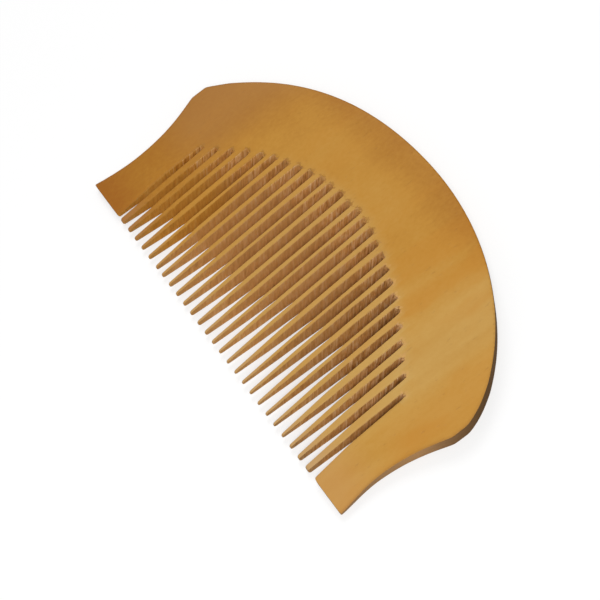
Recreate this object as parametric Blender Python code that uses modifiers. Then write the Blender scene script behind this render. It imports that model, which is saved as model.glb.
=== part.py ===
# Wooden comb: a domed back with two end guards and a row of sawn teeth.
# It lies on its lower face. X runs along the comb, Y from the tooth tips to the crown, Z is up.
# Heights below are measured in the board, from the line of the tooth tips.
import math

import bmesh
import bpy
from mathutils import Vector
from mathutils.geometry import interpolate_bezier

# Size of the blank, in metres
LENGTH = 0.120            # from shoulder to shoulder
HEIGHT = 0.0686           # from the tooth tips to the top of the crown
CROWN_THICKNESS = 0.0094  # at the top of the crown
TIP_THICKNESS = 0.0021    # at the tooth tips

# Outline of the blank, cut by hand: its right shoulder sits lower than its left one
LEFT_SHOULDER_HEIGHT = 0.0367
RIGHT_SHOULDER_HEIGHT = 0.0312
WAIST_HEIGHT = 0.0104     # height of the narrowest point
WAIST_INSET = 0.0040      # the waist lies this far inside the shoulder
FOOT_INSET = 0.0027       # the foot of the guard lies this far inside the shoulder

# How far the outline holds its direction as it leaves each of its points
LEFT_CROWN_SWEEP = 0.0427
RIGHT_CROWN_SWEEP = 0.0474
SHOULDER_RISE = 0.0052
SHOULDER_FALL = 0.0031
WAIST_RISE = 0.0148
WAIST_FALL = 0.0042
FOOT_RISE = 0.0033
FOOT_FLARE = 0.00075      # sideways run of the outline over the foot's rise

# Saw cuts and teeth
TOOTH_PITCH = 0.00344
SLOT_WIDTH = 0.00210
SLOT_LEAN = math.radians(1.9)  # the cuts tilt to the left as they rise
LEAN_HEIGHT = 0.0137      # height where the leaning row is centred on the comb
SLOT_REACH = 0.0479       # height where the middle cuts end
SLOT_DROP = 0.0197        # the outermost cuts end this much lower
SLOT_SKEW = 0.0020        # how much fuller the arch of the cuts' ends is on the left
GUARD_WIDTH = 0.0114      # least width of a guard at its foot
TIP_WIDTH = 0.00070
TAPER_START = 0.0138      # below this height a tooth narrows to its tip
ROOT_STUB = 0.0022        # length of each tooth's root that belongs to the back

# Rounded edges
BOARD_EDGE = 0.0009       # around the outside of the back and the guards
TOOTH_EDGE = 0.00025      # along the cuts and around the teeth
EDGE_SHARE = 0.4          # most of a wall that one rounded edge may take
EDGE_SEGMENTS = 2
SHARP_CORNER = math.radians(40)

# Fineness of the curves
CROWN_STEPS = 18
SHOULDER_STEPS = 12
FOOT_STEPS = 6
ARC_STEPS = 6

WELD_DISTANCE = 0.000001

# The two sides of the comb, as signs of X
LEFT = -1
RIGHT = 1

# Values worked out from the sizes above
HALF_LENGTH = LENGTH / 2
SHOULDER_HEIGHT = {LEFT: LEFT_SHOULDER_HEIGHT, RIGHT: RIGHT_SHOULDER_HEIGHT}
CROWN_SWEEP = {LEFT: LEFT_CROWN_SWEEP, RIGHT: RIGHT_CROWN_SWEEP}
ROW_WIDTH = LENGTH - 2 * (FOOT_INSET + GUARD_WIDTH)
TOOTH_COUNT = int((ROW_WIDTH - SLOT_WIDTH) / TOOTH_PITCH)
HALF_ROW = TOOTH_COUNT * TOOTH_PITCH / 2
ROOT_WIDTH = TOOTH_PITCH - SLOT_WIDTH
LEAN_SLOPE = math.tan(SLOT_LEAN)
CUT_EDGE = min(TOOTH_EDGE, EDGE_SHARE * min(TIP_WIDTH, ROOT_WIDTH, TIP_THICKNESS))


def clear_scene():
    """Remove what the start-up scene holds."""
    for item in list(bpy.data.objects):
        bpy.data.objects.remove(item)


def wood(name, colour, roughness):
    """A plain wood material."""
    material = bpy.data.materials.new(name)
    material.use_nodes = True
    shader = material.node_tree.nodes["Principled BSDF"]
    shader.inputs["Base Color"].default_value = (*colour, 1.0)
    shader.inputs["Roughness"].default_value = roughness
    shader.inputs["Metallic"].default_value = 0.0
    return material


def face_height(y):
    """Height of the sloping upper face, which thins towards the tips."""
    return TIP_THICKNESS + (CROWN_THICKNESS - TIP_THICKNESS) * y / HEIGHT


def half_outline(side):
    """One half of the blank's outline, from the crown down to the foot of the guard."""
    shoulder = HALF_LENGTH
    level = SHOULDER_HEIGHT[side]
    waist = HALF_LENGTH - WAIST_INSET
    foot = HALF_LENGTH - FOOT_INSET
    stretches = (
        ((0, HEIGHT), (CROWN_SWEEP[side], HEIGHT),
         (shoulder, level + SHOULDER_RISE), (shoulder, level), CROWN_STEPS),
        ((shoulder, level), (shoulder, level - SHOULDER_FALL),
         (waist, WAIST_HEIGHT + WAIST_RISE), (waist, WAIST_HEIGHT), SHOULDER_STEPS),
        ((waist, WAIST_HEIGHT), (waist, WAIST_HEIGHT - WAIST_FALL),
         (foot - FOOT_FLARE, FOOT_RISE), (foot, 0), FOOT_STEPS),
    )
    points = [Vector((0, HEIGHT))]
    for knots in stretches:
        start, leave, arrive, end = (Vector(knot) for knot in knots[:4])
        points.extend(interpolate_bezier(start, leave, arrive, end, knots[4] + 1)[1:])
    return [Vector((side * point.x, point.y)) for point in points]


def split_outline(side, level):
    """One half of the outline above a level and below it, with a shared point on the level."""
    points = half_outline(side)
    lower = next(index for index, point in enumerate(points) if point.y < level)
    share = (points[lower - 1].y - level) / (points[lower - 1].y - points[lower].y)
    cut = points[lower - 1].lerp(points[lower], share)
    cut.y = level
    # A point of the curve right beside the cut would leave an edge too short to round
    above = [point for point in points[:lower] if (point - cut).length > BOARD_EDGE]
    below = [point for point in points[lower:] if (point - cut).length > BOARD_EDGE]
    return above + [cut], [cut] + below


def lean(y):
    """How far the leaning saw cuts have moved to the left at a height."""
    return LEAN_SLOPE * (y - LEAN_HEIGHT)


def leaning(x, y):
    """A point of the tooth row, moved sideways with the lean of the saw cuts."""
    return Vector((x - lean(y), y))


def slot_place(slot):
    """Sideways place of a cut before it leans. Cut 0 lies beside the left guard."""
    return slot * TOOTH_PITCH - HALF_ROW


def slot_end(slot):
    """Height where a cut ends: the ends lie on a shallow arch."""
    share = slot_place(slot) / HALF_ROW
    return SLOT_REACH - SLOT_DROP * share ** 2 - SLOT_SKEW * (share - share ** 3)


def tooth_seat(tooth):
    """Height where a tooth joins the back, just below the cuts on both sides of it."""
    return min(slot_end(tooth), slot_end(tooth + 1)) - ROOT_STUB


def guard_seat():
    """Height where both guards join the back, just below the outermost cuts."""
    return slot_end(0) - ROOT_STUB


def seat_left_of(slot):
    """Height of the seat on the left of a cut: a guard's for the first cut."""
    return guard_seat() if slot == 0 else tooth_seat(slot - 1)


def seat_right_of(slot):
    """Height of the seat on the right of a cut: a guard's for the last cut."""
    return guard_seat() if slot == TOOTH_COUNT else tooth_seat(slot)


def slot_outline(slot):
    """The walls and round end of one cut, from the seat on its left to the seat on its right."""
    centre = slot_place(slot)
    radius = SLOT_WIDTH / 2
    shoulder = slot_end(slot) - radius
    points = [leaning(centre - radius, seat_left_of(slot))]
    for step in range(ARC_STEPS + 1):
        angle = math.pi * (1 - step / ARC_STEPS)
        points.append(leaning(centre + radius * math.cos(angle), shoulder + radius * math.sin(angle)))
    points.append(leaning(centre + radius, seat_right_of(slot)))
    return points


def back_outline():
    """The back: crown, shoulders and the roots between the cuts."""
    points = []
    for slot in range(TOOTH_COUNT + 1):
        points.extend(slot_outline(slot))
    right_side = split_outline(RIGHT, guard_seat())[0]
    left_side = split_outline(LEFT, guard_seat())[0]
    return points + list(reversed(right_side)) + left_side[1:]


def guard_outline(side):
    """One guard: its straight edge along the outermost cut, and the waisted outer edge."""
    outer = split_outline(side, guard_seat())[1]
    edge = side * (HALF_ROW + SLOT_WIDTH / 2)
    inner = [leaning(edge, guard_seat()), leaning(edge, 0)]
    if side == RIGHT:
        return inner + list(reversed(outer))
    return outer + list(reversed(inner))


def tooth_outline(tooth):
    """One tooth: straight from its seat, then narrowing to a round tip."""
    centre = (slot_place(tooth) + slot_place(tooth + 1)) / 2
    seat = tooth_seat(tooth)
    taper = min(TAPER_START, seat)
    half_root = ROOT_WIDTH / 2
    half_tip = TIP_WIDTH / 2
    left = [leaning(centre - half_root, seat)]
    right = [leaning(centre + half_root, seat)]
    if taper < seat:
        left.append(leaning(centre - half_root, taper))
        right.insert(0, leaning(centre + half_root, taper))
    tip = []
    for step in range(ARC_STEPS + 1):
        angle = math.pi * (1 + step / ARC_STEPS)
        tip.append(leaning(centre + half_tip * math.cos(angle), half_tip + half_tip * math.sin(angle)))
    return left + tip + right


def flat_board(name, points):
    """A closed mesh of the outline, one unit of crown thickness high."""
    curve = bpy.data.curves.new(name, "CURVE")
    curve.dimensions = "2D"
    curve.fill_mode = "BOTH"
    curve.extrude = CROWN_THICKNESS / 2
    spline = curve.splines.new("POLY")
    spline.points.add(len(points) - 1)
    for knot, point in zip(spline.points, points):
        knot.co = (point.x, point.y, 0, 1)
    spline.use_cyclic_u = True
    drawing = bpy.data.objects.new(name + "_outline", curve)
    bpy.context.scene.collection.objects.link(drawing)
    evaluated = drawing.evaluated_get(bpy.context.evaluated_depsgraph_get())
    mesh = bpy.data.meshes.new_from_object(evaluated)
    bpy.data.objects.remove(drawing)
    mesh.name = name
    return mesh


def cut_edge(low, high):
    """Rounding of an edge of a tooth."""
    return CUT_EDGE


def board_edge(low, high):
    """Rounding of an edge of the back or a guard: small along the cuts, large around the outside."""
    middle = (low + high) / 2
    for slot in range(TOOTH_COUNT + 1):
        beside = abs(middle.x + lean(middle.y) - slot_place(slot)) <= SLOT_WIDTH
        if beside and middle.y <= slot_end(slot) + WELD_DISTANCE:
            return CUT_EDGE
    return min(BOARD_EDGE, EDGE_SHARE * face_height(middle.y))


def shape_board(mesh, seats, edge_rule):
    """Thin the board towards the tips and mark the edges to be rounded."""
    board = bmesh.new()
    board.from_mesh(mesh)
    bmesh.ops.remove_doubles(board, verts=board.verts, dist=WELD_DISTANCE)
    bmesh.ops.recalc_face_normals(board, faces=board.faces)
    for side in (1, -1):
        cap = [face for face in board.faces if face.normal.z * side > 0.5]
        bmesh.ops.dissolve_faces(board, faces=cap)
    for vert in board.verts:
        vert.co.z = face_height(vert.co.y) if vert.co.z > 0 else 0.0
    weight = board.edges.layers.float.new("bevel_weight_edge")
    for line in board.edges:
        low, high = (vert.co for vert in line.verts)
        level = abs(low.y - high.y) < WELD_DISTANCE
        seated = level and any(abs(low.y - seat) < WELD_DISTANCE for seat in seats)
        upright = level and abs(low.x - high.x) < WELD_DISTANCE
        if seated or upright and line.calc_face_angle() < SHARP_CORNER:
            continue
        radius = CUT_EDGE if upright else edge_rule(low, high)
        line[weight] = radius / BOARD_EDGE
    board.to_mesh(mesh)
    board.free()


def add_piece(name, points, seats, material, edge_rule):
    """Make one named piece from its outline, with rounded edges away from its seats."""
    mesh = flat_board(name, points)
    shape_board(mesh, seats, edge_rule)
    mesh.materials.clear()
    mesh.materials.append(material)
    piece = bpy.data.objects.new(name, mesh)
    piece.parent = comb_centre
    comb.objects.link(piece)
    rounding = piece.modifiers.new("rounded edges", "BEVEL")
    rounding.limit_method = "WEIGHT"
    rounding.width = BOARD_EDGE
    rounding.segments = EDGE_SEGMENTS
    rounding.use_clamp_overlap = False
    mesh.shade_smooth()
    mesh.set_sharp_from_angle(angle=SHARP_CORNER)
    return piece


clear_scene()
comb = bpy.data.collections.new("wooden_comb")
bpy.context.scene.collection.children.link(comb)

# The comb's centre lies half way between the tips and the crown
comb_centre = bpy.data.objects.new("comb_centre", None)
comb_centre.location = (0, -HEIGHT / 2, 0)
comb.objects.link(comb_centre)

back_wood = wood("back_wood", (0.52, 0.29, 0.085), 0.42)
guard_wood = wood("guard_wood", (0.54, 0.31, 0.095), 0.45)
tooth_wood = wood("tooth_wood", (0.50, 0.27, 0.080), 0.48)

all_seats = [guard_seat()] + [tooth_seat(tooth) for tooth in range(TOOTH_COUNT)]
add_piece("comb_back", back_outline(), all_seats, back_wood, board_edge)
add_piece("guard_left", guard_outline(LEFT), [guard_seat()], guard_wood, board_edge)
add_piece("guard_right", guard_outline(RIGHT), [guard_seat()], guard_wood, board_edge)
for tooth in range(TOOTH_COUNT):
    tooth_name = "tooth_%02d" % (tooth + 1)
    add_piece(tooth_name, tooth_outline(tooth), [tooth_seat(tooth)], tooth_wood, cut_edge)
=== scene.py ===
"""Looks of a half-moon wooden comb: a domed back, two end guards and a row of sawn teeth.

Each piece starts as flat grids laid on the plan of the board. The grids are thickened, their
walls are cut into levels and their edges creased, and modifiers smooth and roughen the cage.
Lengths are in metres. Heights are measured on the board, upwards from the tooth tips.
"""

import logging
import math
import random
from bisect import bisect_left
from dataclasses import astuple, dataclass, field
from enum import Enum
from functools import cached_property, partial, reduce
from typing import Callable, Iterable, Sequence

import bpy
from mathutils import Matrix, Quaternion, Vector
from mathutils.geometry import interpolate_bezier
from mathutils.kdtree import KDTree


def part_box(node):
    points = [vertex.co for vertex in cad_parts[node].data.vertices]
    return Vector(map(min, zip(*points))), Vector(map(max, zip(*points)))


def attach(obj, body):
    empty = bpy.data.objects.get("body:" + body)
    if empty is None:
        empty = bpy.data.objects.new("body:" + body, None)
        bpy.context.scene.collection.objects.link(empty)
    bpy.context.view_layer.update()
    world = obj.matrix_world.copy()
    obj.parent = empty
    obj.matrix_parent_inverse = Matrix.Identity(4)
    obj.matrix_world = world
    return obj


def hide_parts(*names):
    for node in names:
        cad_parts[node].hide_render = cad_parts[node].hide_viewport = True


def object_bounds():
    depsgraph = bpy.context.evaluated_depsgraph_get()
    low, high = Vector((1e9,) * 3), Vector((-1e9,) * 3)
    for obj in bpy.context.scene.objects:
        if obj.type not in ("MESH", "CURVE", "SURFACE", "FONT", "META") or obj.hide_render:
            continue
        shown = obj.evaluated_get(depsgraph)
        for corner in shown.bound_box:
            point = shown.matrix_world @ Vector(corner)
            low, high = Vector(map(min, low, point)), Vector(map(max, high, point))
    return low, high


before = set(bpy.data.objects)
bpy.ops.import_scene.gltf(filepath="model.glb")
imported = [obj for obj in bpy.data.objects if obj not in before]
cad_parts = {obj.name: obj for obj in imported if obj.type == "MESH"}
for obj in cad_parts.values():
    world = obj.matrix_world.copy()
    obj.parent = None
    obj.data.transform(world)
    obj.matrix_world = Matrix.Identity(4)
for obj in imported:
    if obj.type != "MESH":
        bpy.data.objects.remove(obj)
cad_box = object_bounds()
log = logging.getLogger("comb")

MERGE_DISTANCE = 0.000001
UP = Vector((0, 0, 1))
WHITE = (1.0, 1.0, 1.0)

Colour = tuple[float, float, float]
Triple = tuple[float, float, float]
Range = tuple[float, float]
Stops = tuple[tuple[float, Colour], ...]
Place = Callable[[int, int], Vector]
Sheet = tuple[int, int, Place]
Socket = bpy.types.NodeSocket


class Side(Enum):
    """The two ends of the comb, as signs of X."""

    LEFT = -1
    RIGHT = 1

    @property
    def guard_name(self) -> str:
        """Name of the guard at this end."""
        return f"guard_{self.name.lower()}"


class Domain(Enum):
    """What a selection in edit mode is made of."""

    VERTICES = "vertices"
    EDGES = "edges"
    FACES = "polygons"


def mix(start: float, end: float, share: float) -> float:
    """The value a share of the way from start to end."""
    return start + (end - start) * share


def ramp(value: float, low: float, high: float) -> float:
    """How far a value lies between low and high, eased at both ends."""
    share = min(1.0, max(0.0, (value - low) / (high - low)))
    return share * share * (3 - 2 * share)


class Bench:
    """The work bench: picks up objects, selects parts of them and runs modelling steps."""

    @staticmethod
    def take(*things: bpy.types.Object) -> None:
        """Select only these objects and make the first one active.

        Args:
            things: The objects to hold.
        """
        bpy.ops.object.select_all(action="DESELECT")
        for thing in things:
            thing.select_set(True)
        bpy.context.view_layer.objects.active = things[0]

    @staticmethod
    def edit(thing: bpy.types.Object, domain: Domain, chosen: Iterable[int]) -> None:
        """Open an object in edit mode with some of its elements selected.

        Args:
            thing: The object to edit.
            domain: The kind of element to select.
            chosen: Indices of the elements.
        """
        Bench.take(thing)
        wanted = set(chosen)
        for kind in Domain:
            elements = getattr(thing.data, kind.value)
            flags = [kind is domain and index in wanted for index in range(len(elements))]
            elements.foreach_set("select", flags)
        bpy.context.tool_settings.mesh_select_mode = [kind is domain for kind in Domain]
        bpy.ops.object.mode_set(mode="EDIT")

    @staticmethod
    def edit_all(thing: bpy.types.Object) -> None:
        """Open an object in edit mode with everything selected.

        Args:
            thing: The object to edit.
        """
        Bench.take(thing)
        bpy.ops.object.mode_set(mode="EDIT")
        bpy.ops.mesh.select_all(action="SELECT")

    @staticmethod
    def put_down() -> None:
        """Leave edit mode."""
        bpy.ops.object.mode_set(mode="OBJECT")

    @staticmethod
    def apply(thing: bpy.types.Object, modifier: bpy.types.Modifier) -> None:
        """Apply one modifier to an object's mesh."""
        Bench.take(thing)
        bpy.ops.object.modifier_apply(modifier=modifier.name)

    @staticmethod
    def lay_sheet(columns: int, rows: int, place: Place) -> bpy.types.Object:
        """Add a flat grid and lay each of its corners on the board.

        Args:
            columns: Number of faces along the grid.
            rows: Number of faces across it.
            place: Gives the point for a column and row of corners.

        Returns:
            The grid's object.
        """
        bpy.ops.object.select_all(action="DESELECT")
        bpy.ops.mesh.primitive_grid_add(
            x_subdivisions=columns, y_subdivisions=rows, size=1.0, location=(0, 0, 0))
        sheet = bpy.context.active_object
        for corner in sheet.data.vertices:
            column = round((corner.co.x + 0.5) * columns)
            row = round((corner.co.y + 0.5) * rows)
            corner.co = place(column, row)
        return sheet


@dataclass(frozen=True)
class Flank:
    """One end of the board's outline: crown, flat shoulder, waist and foot."""

    sweep: float
    crown_inset: float
    crown_rise: float
    shoulder_top: float
    shoulder_low: float
    waist_height: float
    waist_inset: float
    corner_crease: float
    shoulder_inset: float = 0.0
    shoulder_turn: float = 0.0009
    shoulder_fall: float = 0.0030
    waist_rise: float = 0.0120
    waist_fall: float = 0.0042
    foot_inset: float = 0.0027
    foot_rise: float = 0.0033
    foot_flare: float = 0.00075


FLANKS = {
    Side.LEFT: Flank(sweep=0.0332, crown_inset=0.0093, crown_rise=0.0146, shoulder_top=0.0389,
                     shoulder_low=0.0345, waist_height=0.0130, waist_inset=0.0043, corner_crease=0.6),
    Side.RIGHT: Flank(sweep=0.0358, crown_inset=0.0027, crown_rise=0.0121, shoulder_top=0.0345,
                      shoulder_low=0.0302, waist_height=0.0114, waist_inset=0.0043, corner_crease=0.3,
                      shoulder_inset=0.0006, waist_rise=0.0090, foot_inset=0.0029, foot_rise=0.0026,
                      foot_flare=0.0002),
}


@dataclass
class Blank:
    """The board before it is sawn: its outline in plan and its wedge of thickness."""

    half_length: float
    height: float
    tip_line: float
    crown_thickness: float = 0.0094
    tip_thickness: float = 0.0021
    corner_height: float = 0.0440
    corner_reach: float = 0.0006
    roll_width: float = 0.0045
    roll_depth: float = 0.00028
    steps: int = 60
    halves: dict[Side, list[Vector]] = field(init=False)
    crown: list[Vector] = field(init=False)
    crown_runs: list[float] = field(init=False)
    edge_tree: KDTree = field(init=False)

    def __post_init__(self) -> None:
        """Work out the outline, the crown line and a search tree of edge points."""
        self.halves = {side: self.half_outline(side) for side in Side}
        left, right = (self.above_corner(side) for side in Side)
        self.crown = list(reversed(left)) + right[1:]
        self.crown_runs = [0.0]
        for start, end in zip(self.crown, self.crown[1:]):
            self.crown_runs.append(self.crown_runs[-1] + (end - start).length)
        edge = [point for half in self.halves.values() for point in half]
        self.edge_tree = KDTree(len(edge))
        for index, point in enumerate(edge):
            self.edge_tree.insert((point.x, point.y, 0), index)
        self.edge_tree.balance()

    def half_outline(self, side: Side) -> list[Vector]:
        """One half of the outline, as curves from the crown to the foot of a guard.

        Args:
            side: The end of the comb.

        Returns:
            Points of the outline, as X and height.
        """
        flank = FLANKS[side]
        shoulder = self.half_length - flank.shoulder_inset
        high, low, level = flank.shoulder_top, flank.shoulder_low, flank.waist_height
        waist = self.half_length - flank.waist_inset
        foot = self.half_length - flank.foot_inset
        stretches = (
            ((0, self.height), (flank.sweep, self.height),
             (shoulder - flank.crown_inset, high + flank.crown_rise), (shoulder, high)),
            [(shoulder, mix(high, low, step / 3)) for step in range(4)],
            ((shoulder, low), (shoulder - flank.shoulder_turn, low - flank.shoulder_fall),
             (waist, level + flank.waist_rise), (waist, level)),
            ((waist, level), (waist, level - flank.waist_fall),
             (foot - flank.foot_flare, flank.foot_rise), (foot, 0)),
        )
        points = [Vector((0, self.height))]
        for knots in stretches:
            points.extend(interpolate_bezier(*(Vector(knot) for knot in knots), self.steps)[1:])
        return [Vector((side.value * point.x, point.y)) for point in points]

    def flank(self, side: Side, height: float) -> float:
        """Find the outline on one end of the comb.

        Args:
            side: The end of the comb.
            height: Height on the board.

        Returns:
            X of the outline at that height.
        """
        half = self.halves[side]
        lower = bisect_left(half, -height, key=lambda point: -point.y)
        lower = min(max(lower, 1), len(half) - 1)
        above, below = half[lower - 1], half[lower]
        share = (above.y - height) / max(above.y - below.y, MERGE_DISTANCE)
        return mix(above.x, below.x, share)

    def above_corner(self, side: Side) -> list[Vector]:
        """One half of the crown line, from its top to the level of the plate's corner."""
        kept = [point for point in self.halves[side] if point.y > self.corner_height]
        return kept + [Vector((self.flank(side, self.corner_height), self.corner_height))]

    def crown_point(self, share: float) -> Vector:
        """The point a share of the way along the crown line, from left to right."""
        run = share * self.crown_runs[-1]
        end = min(max(bisect_left(self.crown_runs, run), 1), len(self.crown) - 1)
        stretch = self.crown_runs[end] - self.crown_runs[end - 1]
        return self.crown[end - 1].lerp(self.crown[end], (run - self.crown_runs[end - 1]) / stretch)

    def inset(self, x: float, height: float) -> float:
        """Distance from a place on the board to the outline."""
        return self.edge_tree.find((x, height, 0))[2]

    def roll(self, x: float, height: float) -> float:
        """How far both faces have rolled off towards the outline at a place."""
        return self.roll_depth * max(0.0, 1 - self.inset(x, height) / self.roll_width) ** 2

    def corner_crease(self, x: float, height: float) -> float:
        """Crease of an upright edge at a corner of one of the flat shoulders, and else 0."""
        flank = FLANKS[Side.LEFT if x < 0 else Side.RIGHT]
        away = min(abs(height - flank.shoulder_top), abs(height - flank.shoulder_low))
        near = max(away, self.inset(x, height)) < self.corner_reach
        return flank.corner_crease if near else 0.0

    def top(self, x: float, height: float) -> float:
        """Level of the upper face, which thins towards the tips."""
        wedge = mix(self.tip_thickness, self.crown_thickness, height / self.height)
        return wedge - self.roll(x, height)

    def underside(self, x: float, height: float) -> float:
        """Level of the lower face."""
        return self.roll(x, height)

    def point(self, x: float, height: float) -> Vector:
        """A point of the upper face, in the frame."""
        return Vector((x, height + self.tip_line, self.top(x, height)))


@dataclass(frozen=True)
class Stray:
    """How one cut strays from its neat place."""

    sideways: float
    tilt: float
    end: float
    half_width: float


@dataclass
class SawCuts:
    """The saw cuts that part the teeth. Cut 0 lies beside the left guard."""

    teeth: int
    tip_line: float
    pitch: float = 0.00344
    width: float = 0.00212
    left_pinch: float = 0.00034
    left_range: Range = (0.70, 1.05)
    right_pinch: float = 0.00046
    right_range: Range = (0.40, 1.10)
    end_pinch: float = 0.00004
    pinch_length: float = 0.012
    lean: float = math.radians(1.9)
    lean_height: float = 0.0137
    reach: float = 0.0479
    drop: float = 0.0197
    skew: float = 0.0020
    long_end: float = 0.00115
    short_end: float = 0.00020
    squareness: float = 0.36
    slope_at_end: float = 0.00008
    slope_below: float = 0.00036
    slope_range: Range = (0.002, 0.014)
    stray_sideways: float = 0.00014
    stray_tilt: float = 0.0022
    stray_end: float = 0.00028
    stray_width: float = 0.00005
    tilt_height: float = 0.020
    seed: int = 11
    strays: list[Stray] = field(init=False)
    seats: dict[str, float] = field(init=False)

    def __post_init__(self) -> None:
        """Draw how each cut strays, and read from the solids where the pieces join the back."""
        draw = random.Random(self.seed)
        self.strays = [
            Stray(
                sideways=draw.uniform(-1, 1) * self.stray_sideways,
                tilt=draw.uniform(-1, 1) * self.stray_tilt,
                end=draw.uniform(-1, 1) * self.stray_end,
                half_width=draw.uniform(-1, 1) * self.stray_width,
            )
            for _ in range(self.teeth + 1)
        ]
        names = self.tooth_names() + [side.guard_name for side in Side]
        self.seats = {name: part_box(name)[1].y - self.tip_line for name in names}

    def tooth_names(self) -> list[str]:
        """Names of the teeth, from left to right."""
        return [f"tooth_{tooth + 1:02d}" for tooth in range(self.teeth)]

    @property
    def half_row(self) -> float:
        """Half the width of the row, between the centres of the outermost cuts."""
        return self.teeth * self.pitch / 2

    def share(self, cut: int) -> float:
        """Place of a cut in the row, from -1 at the left end to 1 at the right end."""
        return 2 * cut / self.teeth - 1

    def leaning(self, height: float) -> float:
        """How far the leaning cuts have moved to the left at a height."""
        return math.tan(self.lean) * (height - self.lean_height)

    def nearest(self, x: float, height: float) -> int:
        """The cut whose neat centre line is nearest to a place on the board."""
        near = round((x + self.leaning(height) + self.half_row) / self.pitch)
        return min(max(near, 0), self.teeth)

    def centre(self, cut: int, height: float) -> float:
        """X of a cut's centre line at a height."""
        stray = self.strays[cut]
        place = cut * self.pitch - self.half_row + stray.sideways
        return place - self.leaning(height) + stray.tilt * (height - self.tilt_height)

    def half_width(self, cut: int, height: float) -> float:
        """Half the width of a cut at a height: narrower near its end and at the ends of the row.

        Args:
            cut: The cut.
            height: Height on the board.

        Returns:
            Half the width.
        """
        share = self.share(cut)
        shoulder = self.shoulder(cut)
        half = self.width / 2 + self.strays[cut].half_width
        half -= self.left_pinch * ramp(-share, *self.left_range)
        half -= self.right_pinch * ramp(share, *self.right_range)
        return half - self.end_pinch * ramp(height, shoulder - self.pinch_length, shoulder)

    def wall(self, cut: int, side: Side, height: float) -> float:
        """X of one wall of a cut at a height."""
        return self.centre(cut, height) + side.value * self.half_width(cut, height)

    def slope(self, cut: int, height: float) -> float:
        """How far the left wall of a cut leans back at the upper face."""
        below = ramp(self.arch(cut) - height, *self.slope_range)
        return mix(self.slope_at_end, self.slope_below, below)

    def arch(self, cut: int) -> float:
        """Height of the neat arch that the ends of the cuts follow."""
        share = self.share(cut)
        return self.reach - self.drop * share ** 2 - self.skew * (share - share ** 3)

    def shoulder(self, cut: int) -> float:
        """Height where a cut starts to close to its round end."""
        return self.arch(cut) - self.long_end + self.strays[cut].end

    def end_length(self, share: float) -> float:
        """Length of a cut's round end at a share of the thickness, from the underside."""
        return mix(self.short_end, self.long_end, share)

    def end_point(self, cut: int, angle: float) -> tuple[float, float]:
        """A point of a cut's round end on the upper face.

        Args:
            cut: The cut.
            angle: Angle along the end, from pi at its left wall to 0 at its right wall.

        Returns:
            X and height of the point.
        """
        along, across = math.sin(angle), math.cos(angle)
        height = self.shoulder(cut) + self.long_end * abs(along) ** self.squareness
        aside = math.copysign(abs(across) ** self.squareness, across)
        return self.centre(cut, height) + self.half_width(cut, height) * aside, height

    def distance(self, x: float, height: float) -> float:
        """Measure from a place on the board to the nearest cut.

        Args:
            x: X of the place.
            height: Its height on the board.

        Returns:
            The distance, which is negative inside the cut.
        """
        found = math.inf
        near = self.nearest(x, height)
        for cut in range(max(0, near - 1), min(self.teeth, near + 1) + 1):
            half = self.half_width(cut, height)
            aside = x - self.centre(cut, height)
            beyond = max(0.0, height - self.shoulder(cut)) * half / self.long_end
            found = min(found, math.hypot(aside, beyond) - half)
        return found


@dataclass(frozen=True)
class Texture:
    """A cloudy texture that a modifier pushes a surface about with."""

    name: str
    grain: Triple
    depth: int
    strength: float
    axis: str
    group: str
    slant: float = 0.0

    def press(self, thing: bpy.types.Object) -> None:
        """Push an object's surface about along one axis, as much as its vertex group says.

        Args:
            thing: The object to roughen.
        """
        clouds = bpy.data.textures.get(self.name) or bpy.data.textures.new(self.name, "CLOUDS")
        clouds.noise_scale = 1.0
        clouds.noise_depth = self.depth
        bpy.ops.object.select_all(action="DESELECT")
        bpy.ops.object.empty_add(type="PLAIN_AXES", location=(0, 0, 0), rotation=(self.slant, 0, 0))
        ruler = bpy.context.active_object
        ruler.scale = self.grain
        bpy.context.view_layer.update()
        push = thing.modifiers.new(self.name, "DISPLACE")
        push.texture = clouds
        push.texture_coords = "OBJECT"
        push.texture_coords_object = ruler
        push.direction = self.axis
        push.mid_level = 0.5
        push.strength = self.strength
        push.vertex_group = self.group
        Bench.apply(thing, push)
        bpy.data.objects.remove(ruler)


SAW_SLANT = math.radians(-16)
SAW_GRAIN = (0.0026, 0.0009, 0.0100)
TORN_SIZE = (0.0010, 0.0005, 0.0022)
SAW_MARKS = Texture("saw_marks", SAW_GRAIN, 1, 0.00026, "X", "sawn", SAW_SLANT)
TORN_GRAIN = Texture("torn_grain", TORN_SIZE, 2, 0.00014, "X", "sawn", SAW_SLANT)
FRAYED_ENDS = Texture("frayed_ends", (0.0004, 0.0008, 0.0007), 2, 0.00130, "Y", "frayed", SAW_SLANT)


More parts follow.
